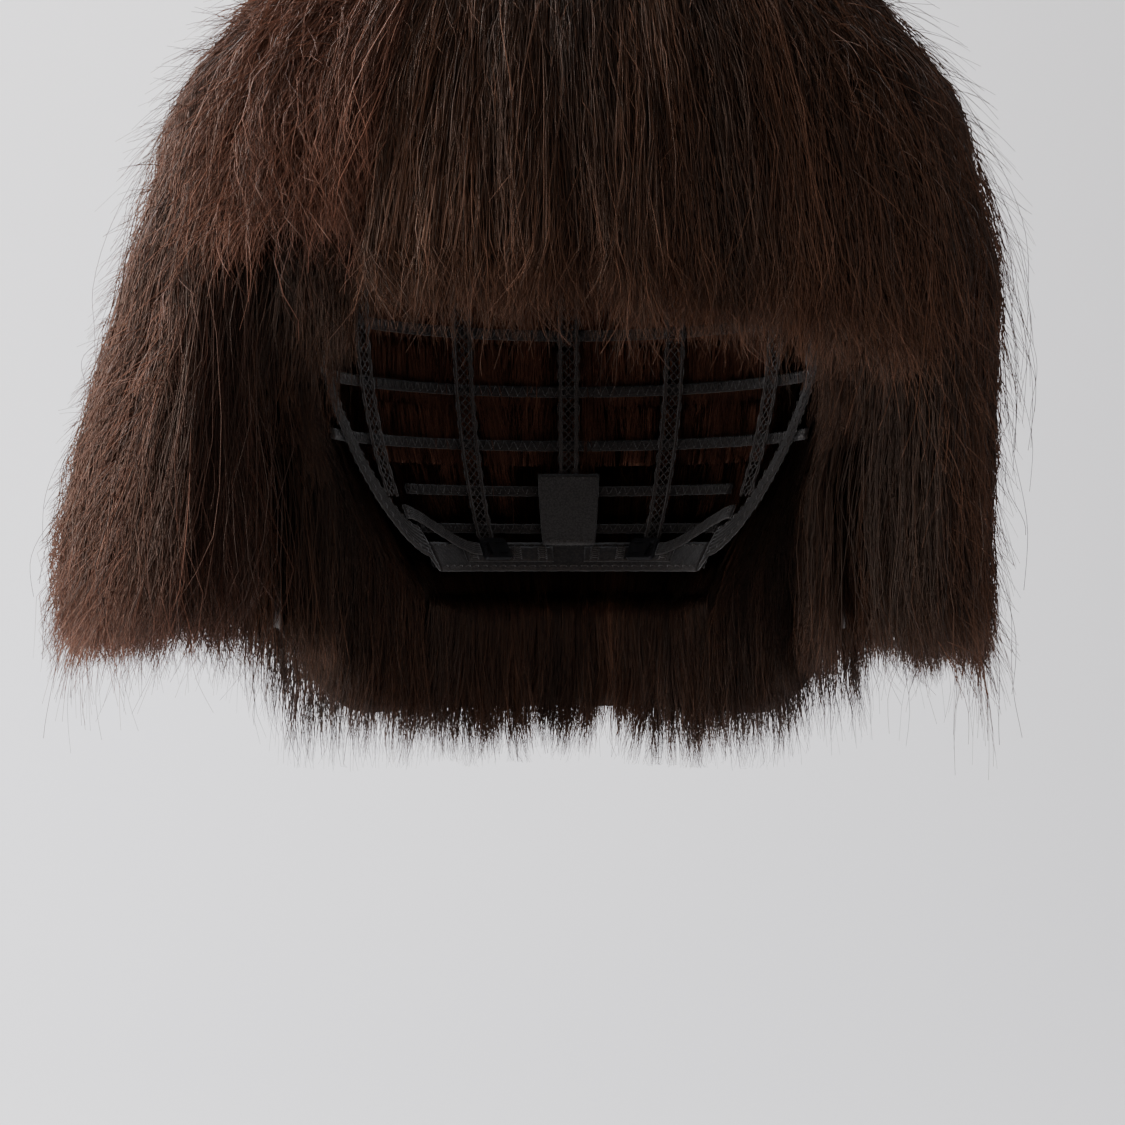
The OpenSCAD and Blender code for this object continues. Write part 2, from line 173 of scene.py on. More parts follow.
def hair_point(a, w, s, hem):
    """A point s of the way from the inner face to the outer face."""
    b = swept(a, w, s, hem)
    i, o = inner_skin(b, w, hem), outer_skin(b, w, hem)
    return i + (o - i) * s[..., None]


def w_at_depth(depth, hem):
    """The w of the outer face at a depth below the hairline."""
    dome = 1 - np.degrees(np.arcsin(np.clip((HAIR_LEVEL - depth) / HAIR_DOME_H, -1, 1))) / 90
    return np.where(depth > HAIR_LEVEL, 1 + (depth - HAIR_LEVEL) / (hem - HAIR_LEVEL), dome)


# ---------------------------------------------------------------- materials


def new_material(name, roughness, specular=0.5):
    m = bpy.data.materials.new(name)
    m.use_nodes = True
    p = m.node_tree.nodes["Principled BSDF"]
    p.inputs["Roughness"].default_value = roughness
    p.inputs["Specular IOR Level"].default_value = specular
    return m, m.node_tree, p


def colour_by(nt, p, source, stops):
    """Sets the base colour from source, through a ramp."""
    node = nt.nodes.new("ShaderNodeValToRGB")
    els = node.color_ramp.elements
    while len(els) < len(stops):
        els.new(0.5)
    for el, (at, colour) in zip(els, stops):
        el.position = at
        el.color = (*colour, 1)
    nt.links.new(source, node.inputs[0])
    nt.links.new(node.outputs[0], p.inputs["Base Color"])


def bump_by(nt, p, source, strength, distance):
    """Raises the surface where source is high."""
    bump = nt.nodes.new("ShaderNodeBump")
    bump.inputs["Strength"].default_value = strength
    bump.inputs["Distance"].default_value = distance
    nt.links.new(source, bump.inputs["Height"])
    nt.links.new(bump.outputs[0], p.inputs["Normal"])


def texture(nt, kind, scale, output):
    """A procedural texture in the object's own coordinates."""
    coords = nt.nodes.new("ShaderNodeTexCoord")
    node = nt.nodes.new(kind)
    node.inputs["Scale"].default_value = scale
    nt.links.new(coords.outputs["Object"], node.inputs["Vector"])
    return node.outputs[output]


PATCH_SCALE, PATCH_SHARE = 24.0, 0.2
WARM_GLINT = (1.0, 0.72, 0.58, 1)


def hair_material(name, dark, mid, light, rough):
    """Fibre: each strand has its own shade, in soft patches; towards the tip it lightens, partly
    drier fibre and partly painted highlight.
    """
    m, nt, p = new_material(name, rough, 0.32)
    shade = nt.nodes.new("ShaderNodeAttribute")
    shade.attribute_name = "shade"
    both = nt.nodes.new("ShaderNodeMath")
    both.operation = "MULTIPLY_ADD"
    both.inputs[1].default_value = PATCH_SHARE
    nt.links.new(texture(nt, "ShaderNodeTexNoise", PATCH_SCALE, "Fac"), both.inputs[0])
    nt.links.new(shade.outputs["Fac"], both.inputs[2])
    colour_by(nt, p, both.outputs[0], [(0.1, dark), (0.5, mid), (1.0, light)])
    p.inputs["Specular Tint"].default_value = WARM_GLINT
    return m


def cloth_material(name, dark, light, scale, rough=0.85):
    """Cloth or thread: a fine weave in colour and bump, and a little sheen."""
    m, nt, p = new_material(name, rough, 0.25)
    weave = texture(nt, "ShaderNodeTexVoronoi", scale, "Distance")
    colour_by(nt, p, weave, [(0.0, light), (0.7, dark)])
    bump_by(nt, p, weave, 0.4, 0.0002)
    p.inputs["Sheen Weight"].default_value = 0.3
    return m


def plastic_material():
    """Moulded black plastic: satin, with a faint mottle from the mould."""
    m, nt, p = new_material("black_plastic", 0.42)
    grain = texture(nt, "ShaderNodeTexNoise", 900.0, "Fac")
    colour_by(nt, p, grain, [(0.3, (0.008, 0.008, 0.009)), (0.7, (0.016, 0.015, 0.016))])
    bump_by(nt, p, grain, 0.15, 0.00008)
    return m


HAIR = hair_material(
    "hair_fibre", (0.0055, 0.0032, 0.0023), (0.025, 0.0108, 0.0060), (0.092, 0.039, 0.021), 0.40
)
# A lighter, redder copy of the fibre for the side the window light falls on: painted light.
HAIR_LIT = hair_material(
    "hair_fibre_lit", (0.010, 0.004, 0.0026), (0.050, 0.020, 0.0125), (0.150, 0.062, 0.038), 0.44
)
BAND = cloth_material("band_cloth", (0.010, 0.007, 0.006), (0.030, 0.022, 0.018), 1100.0)
THREAD = cloth_material("sewing_thread", (0.020, 0.014, 0.011), (0.050, 0.036, 0.028), 2500.0, 0.6)
LACE = cloth_material("lace_thread", (0.024, 0.017, 0.014), (0.065, 0.048, 0.039), 2000.0, 0.7)
NET = cloth_material("net_thread", (0.030, 0.021, 0.017), (0.085, 0.062, 0.050), 2200.0, 0.7)
ELASTIC = cloth_material(
    "ribbed_elastic", (0.011, 0.009, 0.008), (0.034, 0.026, 0.022), 1500.0, 0.7
)
LABEL = cloth_material("label_cloth", (0.030, 0.026, 0.024), (0.075, 0.066, 0.060), 1800.0, 0.55)
PLASTIC = plastic_material()


# ---------------------------------------------------------------- mesh making


class Mesher:
    """Collects tubes and shells, and makes them one mesh with a shade at each point."""

    def __init__(self):
        self.verts, self.shades, self.faces, self.slots = [], [], [], []
        self.total = 0

    def add(self, verts, faces, slot, shade):
        """verts is (n, 3); faces is a list of (m, size) index arrays."""
        for f in faces:
            self.faces.append(f + self.total)
            self.slots.append(np.full(len(f), slot))
        self.verts.append(verts)
        self.shades.append(np.broadcast_to(shade, (len(verts),)))
        self.total += len(verts)

    def tubes(self, paths, radii, slot=0, shade=0.5, ring=3):
        """Closed tubes. paths is (n, k, 3); radii and shade are (n, k) or one number."""
        n, k, _ = paths.shape
        along = np.gradient(paths, axis=1)
        along /= np.linalg.norm(along, axis=2, keepdims=True) + TINY
        ref = paths[:, :1, :] * FLAT + np.array([1e-4, 0, 1e-4])
        across = np.cross(along, np.broadcast_to(ref, paths.shape))
        across /= np.linalg.norm(across, axis=2, keepdims=True) + TINY
        out = np.cross(across, along)
        turn = (2 * np.pi * np.arange(ring) / ring + np.pi / 2)[None, None, :, None]
        radii = np.broadcast_to(radii, (n, k))[:, :, None, None]
        rings = paths[:, :, None, :] + radii * (
            np.cos(turn) * across[:, :, None, :] + np.sin(turn) * out[:, :, None, :]
        )
        i = np.arange(n)[:, None, None] * k * ring
        j = np.arange(k - 1)[None, :, None] * ring
        c = np.arange(ring)[None, None, :]
        nxt = (c + 1) % ring
        quads = np.stack([i + j + c, i + j + nxt, i + j + ring + nxt, i + j + ring + c], -1)
        base = np.arange(n)[:, None] * k * ring
        root = base + np.arange(ring)[::-1][None]
        tip = base + (k - 1) * ring + np.arange(ring)[None]
        shade = np.repeat(np.broadcast_to(shade, (n, k)), ring, axis=1).ravel()
        self.add(rings.reshape(-1, 3), [quads.reshape(-1, 4), root, tip], slot, shade)

    def shell(self, outer, inner, shade=0.5, loop=False):
        """A closed sheet between two (nu, nv) grids. loop joins the last column to the first."""
        nu, nv, _ = outer.shape
        last = nu if loop else nu - 1
        i, j = np.meshgrid(np.arange(last), np.arange(nv - 1), indexing="ij")
        i2 = (i + 1) % nu
        a, b, c, d = i * nv + j, i2 * nv + j, i2 * nv + j + 1, i * nv + j + 1
        half = nu * nv
        top = np.stack([a, b, c, d], -1).reshape(-1, 4)
        under = np.stack([d, c, b, a], -1).reshape(-1, 4) + half
        ring = [np.arange(last) * nv, ((np.arange(last) + 1) % nu) * nv]
        low = np.stack([ring[1], ring[0], ring[0] + half, ring[1] + half], -1)
        high = np.stack([ring[0], ring[1], ring[1] + half, ring[0] + half], -1) + nv - 1
        faces = [top, under, low, high]
        if not loop:
            v = np.arange(nv - 1)
            end = (nu - 1) * nv
            faces.append(np.stack([v, v + 1, v + 1 + half, v + half], -1))
            faces.append(np.stack([v + 1, v, v + half, v + 1 + half], -1) + end)
        self.add(np.concatenate([outer.reshape(-1, 3), inner.reshape(-1, 3)]), faces, 0, shade)

    def build(self, name, materials, nodes, slot, body="cap"):
        """The finished piece, in place of the CAD nodes. It rides on body, unless body is None."""
        loops = np.concatenate([f.ravel() for f in self.faces]).astype(np.int32)
        sizes = np.concatenate([np.full(len(f), f.shape[1]) for f in self.faces])
        me = bpy.data.meshes.new(name)
        me.vertices.add(self.total)
        me.vertices.foreach_set("co", np.concatenate(self.verts).astype(np.float32).ravel())
        me.loops.add(len(loops))
        me.loops.foreach_set("vertex_index", loops)
        me.polygons.add(len(sizes))
        starts = np.concatenate([[0], np.cumsum(sizes)[:-1]])
        me.polygons.foreach_set("loop_start", starts.astype(np.int32))
        me.polygons.foreach_set("use_smooth", np.ones(len(sizes), bool))
        me.polygons.foreach_set("material_index", np.concatenate(self.slots).astype(np.int32))
        attribute = me.attributes.new("shade", "FLOAT", "POINT")
        attribute.data.foreach_set("value", np.concatenate(self.shades).astype(np.float32))
        for m in materials:
            me.materials.append(m)
        me.update(calc_edges=True)
        me.validate()
        o = bpy.data.objects.new(name, me)
        bpy.context.scene.collection.objects.link(o)
        if body:
            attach(o, body)
        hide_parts(*nodes)
        return o


# ---------------------------------------------------------------- the cap

INSIDE, OUTSIDE = -1, 1
THREAD_SLOT, THREAD_R = 1, 0.00018
PUCKER, HEM_ROUND, RIB_DEPTH = 0.00010, 0.6, 0.25


def cloth(mesher, a, low, high, off, thick, rows=6, ribs=0, loop=False):
    """A sewn sheet on the head form: rounded hems, a faint pucker, and ribs if it is elastic."""
    v = np.linspace(0, 1, rows + 1)[None, :]
    az = a[:, None] + 0 * v
    e = low[:, None] + (high - low)[:, None] * v
    half = thick / 2 * (1 - HEM_ROUND + HEM_ROUND * (1 - np.abs(2 * v - 1) ** 6))
    if ribs:
        half = half * (1 - RIB_DEPTH * np.cos(2 * np.pi * ribs * v))
    pucker = PUCKER * np.sin(np.radians(az) * 95 + 5 * v) * np.sin(np.radians(az) * 37)
    mid = off + thick / 2 + pucker
    mesher.shell(form(az, e, mid + half), form(az, e, mid - half), loop=loop)


def along(a, e):
    """Distance along a line on the head form."""
    p = form(a, e, 0.0)
    return np.concatenate([[0], np.cumsum(np.linalg.norm(np.diff(p, axis=0), axis=1))])


def stitches(mesher, a, e, off, way, length=0.0024, pitch=0.0034):
    """Straight stitches along a line on the head form, standing a little off the cloth."""
    run = along(a, e)
    n = max(1, int(run[-1] / pitch))
    x = np.linspace(0, 1, 5)[None, :]
    at = (np.arange(n)[:, None] + 0.15) * run[-1] / n + x * length
    az, ez = np.interp(at, run, a), np.interp(at, run, e)
    ends = np.abs(2 * x - 1) > 0.99
    lift = way * (0.00012 + 0.00022 * np.sin(np.pi * x)) - way * 0.0004 * ends
    mesher.tubes(form(az, ez, off + lift), THREAD_R, THREAD_SLOT)


def zigzag(mesher, a, low, high, off, period, phase=0.0):
    """A thread that runs to and fro between two lines on the head form."""
    mid = (low + high) / 2
    run = along(a, mid)
    n = max(4, int(2 * run[-1] / period))
    at = np.linspace(0, run[-1], 2 * n + 1)
    t = at / period + phase
    v = np.abs(2 * (t - np.floor(t)) - 1)
    az = np.interp(at, run, a)
    ez = mix(np.interp(at, run, low), np.interp(at, run, high), smooth(v))
    lift = 0.00012 * np.sin(4 * np.pi * t)
    mesher.tubes(form(az, ez, off + lift)[None], THREAD_R, THREAD_SLOT)


def azimuths(a0, a1, step=1.25):
    return np.linspace(a0, a1, max(3, int(abs(a1 - a0) / step) + 1))


def sewn_band(name, nodes, a, low, high, slot="band", ribs=0, material=BAND, rows=6):
    """A band of the cap, with a row of stitches along each hem, inside and out."""
    mesher = Mesher()
    cloth(mesher, a, low, high, 0.0, BAND_T, rows, ribs)
    margin = 0.13 * (high - low)
    inner = slice(1, -1)
    for line in (low + margin, high - margin):
        stitches(mesher, a[inner], line[inner], 0.0, INSIDE)
        stitches(mesher, a[inner], line[inner], BAND_T, OUTSIDE)
    return mesher.build(name, [material, THREAD], nodes, slot)


def make_bands():
    a = azimuths(SEAM - TAB_FRONT, TAB_FRONT - SEAM)
    sewn_band("front_band_cloth", ["front_band"], a, cap_edge(a), cap_edge(a) + BAND_DEG + 1.5)
    a = azimuths(EAR_BACK + SEAM, 360 - EAR_BACK - SEAM)
    sewn_band("nape_band_cloth", ["nape_band"], a, 0 * a + NAPE_EDGE, 0 * a + NAPE_EDGE + BAND_DEG)
    for name, side in SIDES:
        a = azimuths(TAB_FRONT, TAB_BACK - SEAM, 0.8)
        mid, half = (TAB_FRONT + TAB_BACK) / 2, (TAB_BACK - TAB_FRONT) / 2
        low = TAB_TIP + 5 * (np.abs(a - mid) / half) ** 3
        high = 0 * a + TEMPLE_EDGE + 9
        sewn_band(f"ear_tab_cloth_{name}", [f"ear_tab_{name}"], side * a, low, high, rows=14)
        a = azimuths(TAB_BACK, EAR_BACK)
        low = cap_edge(a)
        sewn_band(
            f"ear_elastic_cloth_{name}", [f"ear_elastic_{name}"], side * a, low, low + BAND_DEG,
            "elastic", 7, ELASTIC, 28,
        )


def lace(name, node, a0, a1, e0, e1, upright):
    """Stretch lace: two corded edges, a diamond ground between them and scallops outside them."""
    mesher = Mesher()
    middle = BAND_T / 2
    points, period, per_repeat = 90, 0.0052, 8
    cord, cord_r, inner_cord_r, thread_r, scallop = 0.13, 0.00045, 0.00022, 0.00020, 0.11

    def place(t, v, off):
        if upright:
            return form(mix(a0, a1, v), mix(e0, e1, t), off)
        return form(mix(a0, a1, t), mix(e0, e1, v), off)

    t = np.linspace(0, 1, points)
    length = np.linalg.norm(np.diff(place(t, 0.5 + 0 * t, 0.0), axis=0), axis=1).sum()
    for v in (cord, 1 - cord):
        inner = 0.5 + (v - 0.5) * 0.80
        mesher.tubes(place(t, v + 0 * t, middle + 0 * t)[None], cord_r, ring=6)
        mesher.tubes(place(t, inner + 0 * t, middle + 0 * t)[None], inner_cord_r, ring=5)
    repeats = max(3, round(length / period))
    fine = np.linspace(0, 1, repeats * per_repeat + 1)
    for line in range(4):
        x = fine * repeats / 2 + line / 4
        v = 0.16 + 0.68 * np.abs(2 * (x - np.floor(x)) - 1)
        off = middle + 0.00018 * np.sin(2 * np.pi * x * 4 + line * np.pi / 2)
        mesher.tubes(place(fine, v, off)[None], thread_r)
    for edge, way in ((cord, -1), (1 - cord, 1)):
        x = fine * repeats
        bump = np.abs(np.sin(np.pi * x))
        mesher.tubes(place(fine, edge + way * scallop * bump, middle + 0 * fine)[None], thread_r)
    mesher.build(name, [LACE], [node], "elastic")


def make_ribbons():
    ribbon_low, ribbon_high = NET_EDGE - BAND_DEG / 2, NET_EDGE + BAND_DEG / 2
    lace("crown_ribbon_lace", "crown_ribbon", 100, 260, ribbon_low, ribbon_high, False)
    top = ribbon_low - SEAM
    foot = NAPE_EDGE + BAND_DEG + SEAM
    for name, a in (("centre", 180), ("left", 152), ("right", 208)):
        lace(
            f"back_ribbon_lace_{name}", f"back_ribbon_{name}",
            a - RIBBON_DEG, a + RIBBON_DEG, foot, top, True,
        )
    for name, side in SIDES:
        a = EAR_BACK - 8
        foot = float(cap_edge(a - RIBBON_DEG)) + BAND_DEG + SEAM
        lace(
            f"side_ribbon_lace_{name}", f"side_ribbon_{name}",
            side * (a - RIBBON_DEG), side * (a + RIBBON_DEG), foot, top, True,
        )


def net_edge(a):
    return mix(cap_edge(a) + 2, NET_EDGE - 1, smooth((side_of(a) - 80) / 24))


def make_net():
    """Two sets of threads that cross as they climb to the crown, and a corded rim."""
    threads, points, lean, thread_r, rim_r = 132, 30, 0.55, 0.00013, 0.00030
    middle = NET_IN + NET_T / 2
    mesher = Mesher()
    start = np.linspace(0, 360, threads, endpoint=False)
    top = CLOSURE_EDGE - 1
    for way in (1, -1):
        low = net_edge(start)
        for _ in range(12):
            low = net_edge(start + way * lean * (top - low)) * 0.5 + low * 0.5
        e = mix(low[:, None], top, np.linspace(0, 1, points)[None, :])
        a = start[:, None] + way * lean * (top - e)
        weave = 0.00012 * way * np.cos(np.radians(e) * 40 + np.radians(a) * 60)
        mesher.tubes(form(a, e, middle + weave), thread_r)
    a = np.linspace(0, 360, 241)
    mesher.tubes(form(a, net_edge(a), middle + 0 * a)[None], rim_r, ring=5)
    mesher.build("crown_net_mesh", [NET], ["crown_net"], "net")

    mesher = Mesher()
    a = np.linspace(0, 360, 60, endpoint=False)
    cloth(mesher, a, 0 * a + CLOSURE_EDGE - 2, 0 * a + 89.2, TRACK_IN, NET_T, 8, loop=True)
    spiral_turns = 5
    turn = np.linspace(0, spiral_turns * 360, 400)
    spiral = mix(CLOSURE_EDGE - 1, 88, turn / turn[-1])
    stitches(mesher, turn, spiral, TRACK_IN, INSIDE, pitch=0.0030)
    mesher.build("crown_closure_cloth", [BAND, THREAD], ["crown_closure"], "net")


def make_wefts():
    """Rows of close stitching: a core of folded fibre roots, with threads to and fro over it."""
    core_in, core_t, core_edge, stitch_edge, period = 0.0002, 0.0010, 0.15, 0.2, 0.0030

    def rows(name, node, a0, a1, heights, loop=False):
        mesher = Mesher()
        a = np.linspace(a0, a1, int(abs(a1 - a0) / 1.5) + 1)
        ring = a[:-1] if loop else a
        for e in heights:
            low, high = 0 * ring + e + core_edge, 0 * ring + e + TRACK_DEG - core_edge
            cloth(mesher, ring, low, high, TRACK_IN + core_in, core_t, 4, 2, loop=loop)
            low, high = 0 * a + e + stitch_edge, 0 * a + e + TRACK_DEG - stitch_edge
            zigzag(mesher, a, low, high, TRACK_IN + 0.0001, period)
            zigzag(mesher, a, low, high, TRACK_IN + 0.0013, period, phase=0.5)
        mesher.build(name, [BAND, THREAD], [node], "weft_track")

    rows("fringe_weft_rows", "fringe_wefts", 2 - TAB_FRONT, TAB_FRONT - 2, FRINGE_ROWS)
    rows("side_weft_rows_left", "side_wefts_left", TAB_FRONT, 98, SIDE_ROWS)
    rows("side_weft_rows_right", "side_wefts_right", -98, -TAB_FRONT, SIDE_ROWS)
    rows("back_weft_rows", "back_wefts", 100, 260, BACK_ROWS)
    rows("nape_weft_rows", "nape_wefts", EAR_BACK + 2, 358 - EAR_BACK, NAPE_ROWS)
    rows("top_weft_rows", "top_wefts", 0, 360, TOP_ROWS, loop=True)


# The adjusters: the nape is close to a circle round this middle, as in the CAD part
ADJUST_E = NAPE_EDGE + BAND_DEG / 2
HOOK_OFF = -(LAYER_GAP + TAPE_T + LOOP_T + HOOK_GAP + HOOK_T)
LOOP_COUNT, LOOP_PITCH, LOOP_FIRST, LOOP_REST = 4, 12.0, 12.0, 2
HOOK_L = 0.010
NAPE_A = (HEAD_HALF_W + HOOK_OFF) * math.cos(math.radians(ADJUST_E))
NAPE_B = (HEAD_HALF_L + HOOK_OFF) * math.cos(math.radians(ADJUST_E))
NAPE_R = NAPE_A**2 / NAPE_B
TAPE_HALF, STRAP_HALF = 1.6, 1.3


def nape_azimuth(turn):
    """The azimuth that a turn from the middle of the nape comes to."""
    return 180 - math.degrees(math.asin(NAPE_R * math.sin(math.radians(turn)) / NAPE_A))


def make_adjusters():
    """On each side a tape with its loops, and the strap that runs to the hook."""
    tape_off = -LAYER_GAP - TAPE_T
    loop_half, rib_half, bar_half = 1.5, 1.1, 1.4
    for name, side in SIDES:
        mesher = Mesher()
        a0 = nape_azimuth(LOOP_FIRST + (LOOP_COUNT - 1) * LOOP_PITCH + 5)
        a = azimuths(a0, nape_azimuth(LOOP_FIRST - 5), 0.8)
        low, high = 0 * a + ADJUST_E - TAPE_HALF, 0 * a + ADJUST_E + TAPE_HALF
        cloth(mesher, side * a, low, high, tape_off, TAPE_T)
        for loop in range(LOOP_COUNT):
            mid = nape_azimuth(LOOP_FIRST + loop * LOOP_PITCH)
            x = np.linspace(-1, 1, 9)
            arch = tape_off - 0.00015 - 0.0006 * np.sqrt(np.clip(1 - x**2, 0, 1))
            for e in np.linspace(ADJUST_E - rib_half, ADJUST_E + rib_half, 6):
                rib = form(side * (mid + x * loop_half), e + 0 * x, arch)
                mesher.tubes(rib[None], 0.00022, THREAD_SLOT, ring=5)
            for end in (-loop_half, loop_half):
                rise = np.linspace(ADJUST_E - bar_half, ADJUST_E + bar_half, 24)
                sway = side * (mid + end) + 0.25 * np.cos(np.arange(24) * 2.2)
                zigzag(mesher, sway, rise, rise, tape_off - 0.0001, 0.0016)
        mesher.build(
            f"adjuster_tape_cloth_{name}", [BAND, THREAD], [f"adjuster_tape_{name}"], "band"
        )

        rest_turn = LOOP_FIRST + LOOP_REST * LOOP_PITCH
        start = nape_azimuth(rest_turn + math.degrees((HOOK_L / 2 + 0.001) / NAPE_R))
        finish = EAR_BACK - 10
        a = azimuths(finish, start, 0.4)
        anchor = float(cap_edge(finish)) + BAND_DEG / 2
        mid = mix(ADJUST_E, anchor, smooth((start - a) / (start - finish)))
        mesher = Mesher()
        off = HOOK_OFF + 0.0003
        cloth(mesher, side * a, mid - STRAP_HALF, mid + STRAP_HALF, off, STRAP_T, 24, 6)
        for x in (0.02, 0.05):
            at = int(x * (len(a) - 1)) + 1
            e = np.linspace(mid[at] - rib_half, mid[at] + rib_half, 12)
            stitches(mesher, side * a[at] + 0 * e, e, off, INSIDE, pitch=0.0012, length=0.0008)
        strap = mesher.build(
            f"adjuster_strap_elastic_{name}", [ELASTIC, THREAD], [f"adjuster_strap_{name}"],
            "elastic", None,
        )
        ends = form(side * np.array([finish + 1.5, start]), np.array([anchor, ADJUST_E]), off)
        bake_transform(strap)


def make_label():
    """A blank woven label, sewn along its top and bottom edges."""
    mesher = Mesher()
    half, rise, hem = 9, 14, 0.8
    label_off = -LAYER_GAP - TAPE_T
    low = NAPE_EDGE + BAND_DEG - 1
    a = azimuths(180 - half, 180 + half, 0.6)
    e = np.array([low, low + rise])
    cloth(mesher, a, 0 * a + e[0], 0 * a + e[1], label_off, TAPE_T, 20)
    a = a[1:-1]
    for line in (e[0] + hem, e[1] - hem):
        stitches(mesher, a, 0 * a + line, label_off, INSIDE, length=0.0018, pitch=0.0026)
    mesher.build("care_label_cloth", [LABEL, THREAD], ["care_label"], "label")


def keep_cad(nodes, material):
    """CAD nodes whose shape is right: they stay, in a better material."""
    for name in nodes:
        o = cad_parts[name]
        o.data.materials.clear()
        o.data.materials.append(material)


make_bands()
make_ribbons()
make_net()
make_wefts()
make_adjusters()
make_label()
keep_cad(
    ["adjuster_hook_left", "adjuster_hook_right", "ear_stay_left", "ear_stay_right"],
    PLASTIC,
)


# ---------------------------------------------------------------- the hair

RING_AT = np.array([0.0, 0.09, 0.21, 0.34, 0.48, 0.62, 0.74, 0.84, 0.91, 0.96, 1.0])
CLUMP_CELLS = 65536
CLUMP_TABLE = np.random.default_rng(7).normal(0, 1, (CLUMP_CELLS, 8))
CLUMP_PLACE = np.random.default_rng(8).random((CLUMP_CELLS, 2))
HASH_A, HASH_S = 73856093, 19349663
JITTER = 0.6


def clumps(a, s, da, ds):
    """The centre that each strand leans to, and its clump's number: a jittered grid of cells."""
    ia, js = np.floor(a / da + 0.5).astype(int), np.floor(s / ds).astype(int)
    key = (ia * HASH_A + js * HASH_S) % CLUMP_CELLS
    near_a = (ia - JITTER / 2 + JITTER * CLUMP_PLACE[key, 0]) * da
    return near_a, (js + 0.2 + JITTER * CLUMP_PLACE[key, 1]) * ds, key


def rows_w(heights, hem):
    """The w of weft rows at these heights in degrees on the head form."""
    e = np.array(heights, float)
    z = -HAIRLINE_H + NAPE_H * np.sin(np.radians(np.minimum(e, 0)))
    return np.where(e >= 0, 1 - e / 90, 1 + (-HAIRLINE_H - z) / (hem - HAIRLINE_H))


def lengths(p):
    """Distance from the root and to the tip, at each point of each path."""
    steps = np.linalg.norm(np.diff(p, axis=1), axis=2)
    run = np.concatenate([np.zeros((len(p), 1)), np.cumsum(steps, axis=1)], axis=1)
    return run, run[:, -1:] - run


def side_ways(p):
    """Unit vectors at each point: away from the head's axis, and along the curtain."""
    radial = p * FLAT
    radial /= np.linalg.norm(radial, axis=2, keepdims=True) + 1e-9
    return radial, np.cross(np.array([0.0, 0.0, 1.0]), radial)


def scattered(rng, p, w, size, flat, run):
    """Moves roots at the crown a little apart, since all of them start close to one point."""
    spot = rng.normal(0, size, (len(p), 1, 3)) * np.array([1.0, 1.0, flat])
    return p + spot * np.exp(-w / run)[..., None]


# Waves of a strand: length, size, the share that is its own and not its clump's, and how near
# the tip they grow
WAVES = ((0.120, 0.0026, 0.35, 0.16), (0.050, 0.0013, 0.6, 0.05), (0.026, 0.0009, 1.0, 0.022))
# A fine clump is this share of a clump's width; its cells are shifted so that the two don't match
FINE_CELL, FINE_SHIFT, FINE_SHARE = 0.3, 777.0, 0.6
CLUMP_LAYER, FINE_LAYER = 0.2, 0.08
WHORL_TURN, WHORL_RUN = 35.0, 0.09
CROWN_EDGE, CROWN_RISE, ROW_RISE = 0.14, 0.07, 0.24


def strand_paths(rng, a, s_end, w_root, hem, style):
    """Centre lines of strands: from the root out to the layer s_end and down to the hem."""
    n = len(a)
    ca, cs, key = clumps(a, s_end, style["cell"], CLUMP_LAYER)
    fa, fs, fine = clumps(a + FINE_SHIFT, s_end, style["cell"] * FINE_CELL, FINE_LAYER)
    fa = fa - FINE_SHIFT
    table = CLUMP_TABLE
    own = rng.normal(0, 0.5, n)
    uneven = 0.8 * table[key, 0] + 1.1 * table[fine, 0] + own
    depth = (style["cut"] or hem) + style["ragged"] * uneven
    depth -= style["layered"] * rng.random(n) ** 2
    short = rng.random(n) < style["short"]
    depth = np.where(short, depth - rng.uniform(0.004, 0.035, n), depth)
    w_end = w_at_depth(depth, hem)
    u = RING_AT[None, :]
    w = w_root[:, None] + (w_end - w_root)[:, None] * u
    lean = style["clump"] * smooth(u * 1.3) * rng.uniform(0.4, 1.15, n)[:, None]
    drift = (table[key, 1] * 1.2 + table[fine, 1] * 0.8 + rng.normal(0, 0.9, n))[:, None]
    centre = mix(ca, fa, FINE_SHARE)[:, None]
    az = mix(a[:, None], centre, lean) + drift * style["spread"] * u**1.6
    az = az + style["whorl"] * np.exp(-w / WHORL_RUN)
    rise_w = np.where(w_root < CROWN_EDGE, CROWN_RISE, ROW_RISE)[:, None]
    rise = smooth((w - w_root[:, None]) / rise_w)
    s = mix(s_end[:, None], mix(cs, fs, FINE_SHARE)[:, None], lean * 0.7) * rise
    s = s + style["lift"] * rng.normal(0, 1, n)[:, None] * u**2
    p = hair_point(az, w, s, hem[:, None])
    p = scattered(rng, p, w, 0.009, 0.15, 0.05)
    run, far = lengths(p)
    radial, side = side_ways(p)
    for wave, size, own_share, near_tip in WAVES:
        tip = 0.10 + 0.90 * np.exp(-far / near_tip)
        grow = size * style["frizz"] * tip * smooth(run / 0.04)
        for axis, col in ((side, 2), (radial, 4)):
            phase = table[key, col] * 3 * (1 - own_share) + rng.uniform(0, 2 * np.pi, n) * own_share
            lam = wave * rng.uniform(0.75, 1.4, n)
            amount = rng.uniform(0.3, 1.5, n)[:, None] * grow
            wave_at = np.sin(2 * np.pi * far / lam[:, None] + phase[:, None])
            p = p + axis * (wave_at * amount)[..., None]
    tone = 0.10 * table[key, 5] + 0.08 * table[fine, 6]
    return p, far, tone


STYLE = dict(
    frizz=1.0, ragged=0.0026, layered=0.004, short=0.06, spread=1.0, clump=0.6, lift=0.015,
    whorl=WHORL_TURN, cell=5.0, tone=0.0, tips=0.28, cut=None, shadow=0.0,
)
HAIR_MARGIN, STRAY_MARGIN = 0.010, 0.0155
MOST_STRANDS = 3100
# The last number here is how far up from the tip the strands lighten: partly drier fibre, partly
# painted highlight.
STRAND_R, TAPER_RUN, DRY_AND_LIT_TIP_RUN = 0.000115, 0.012, 0.018
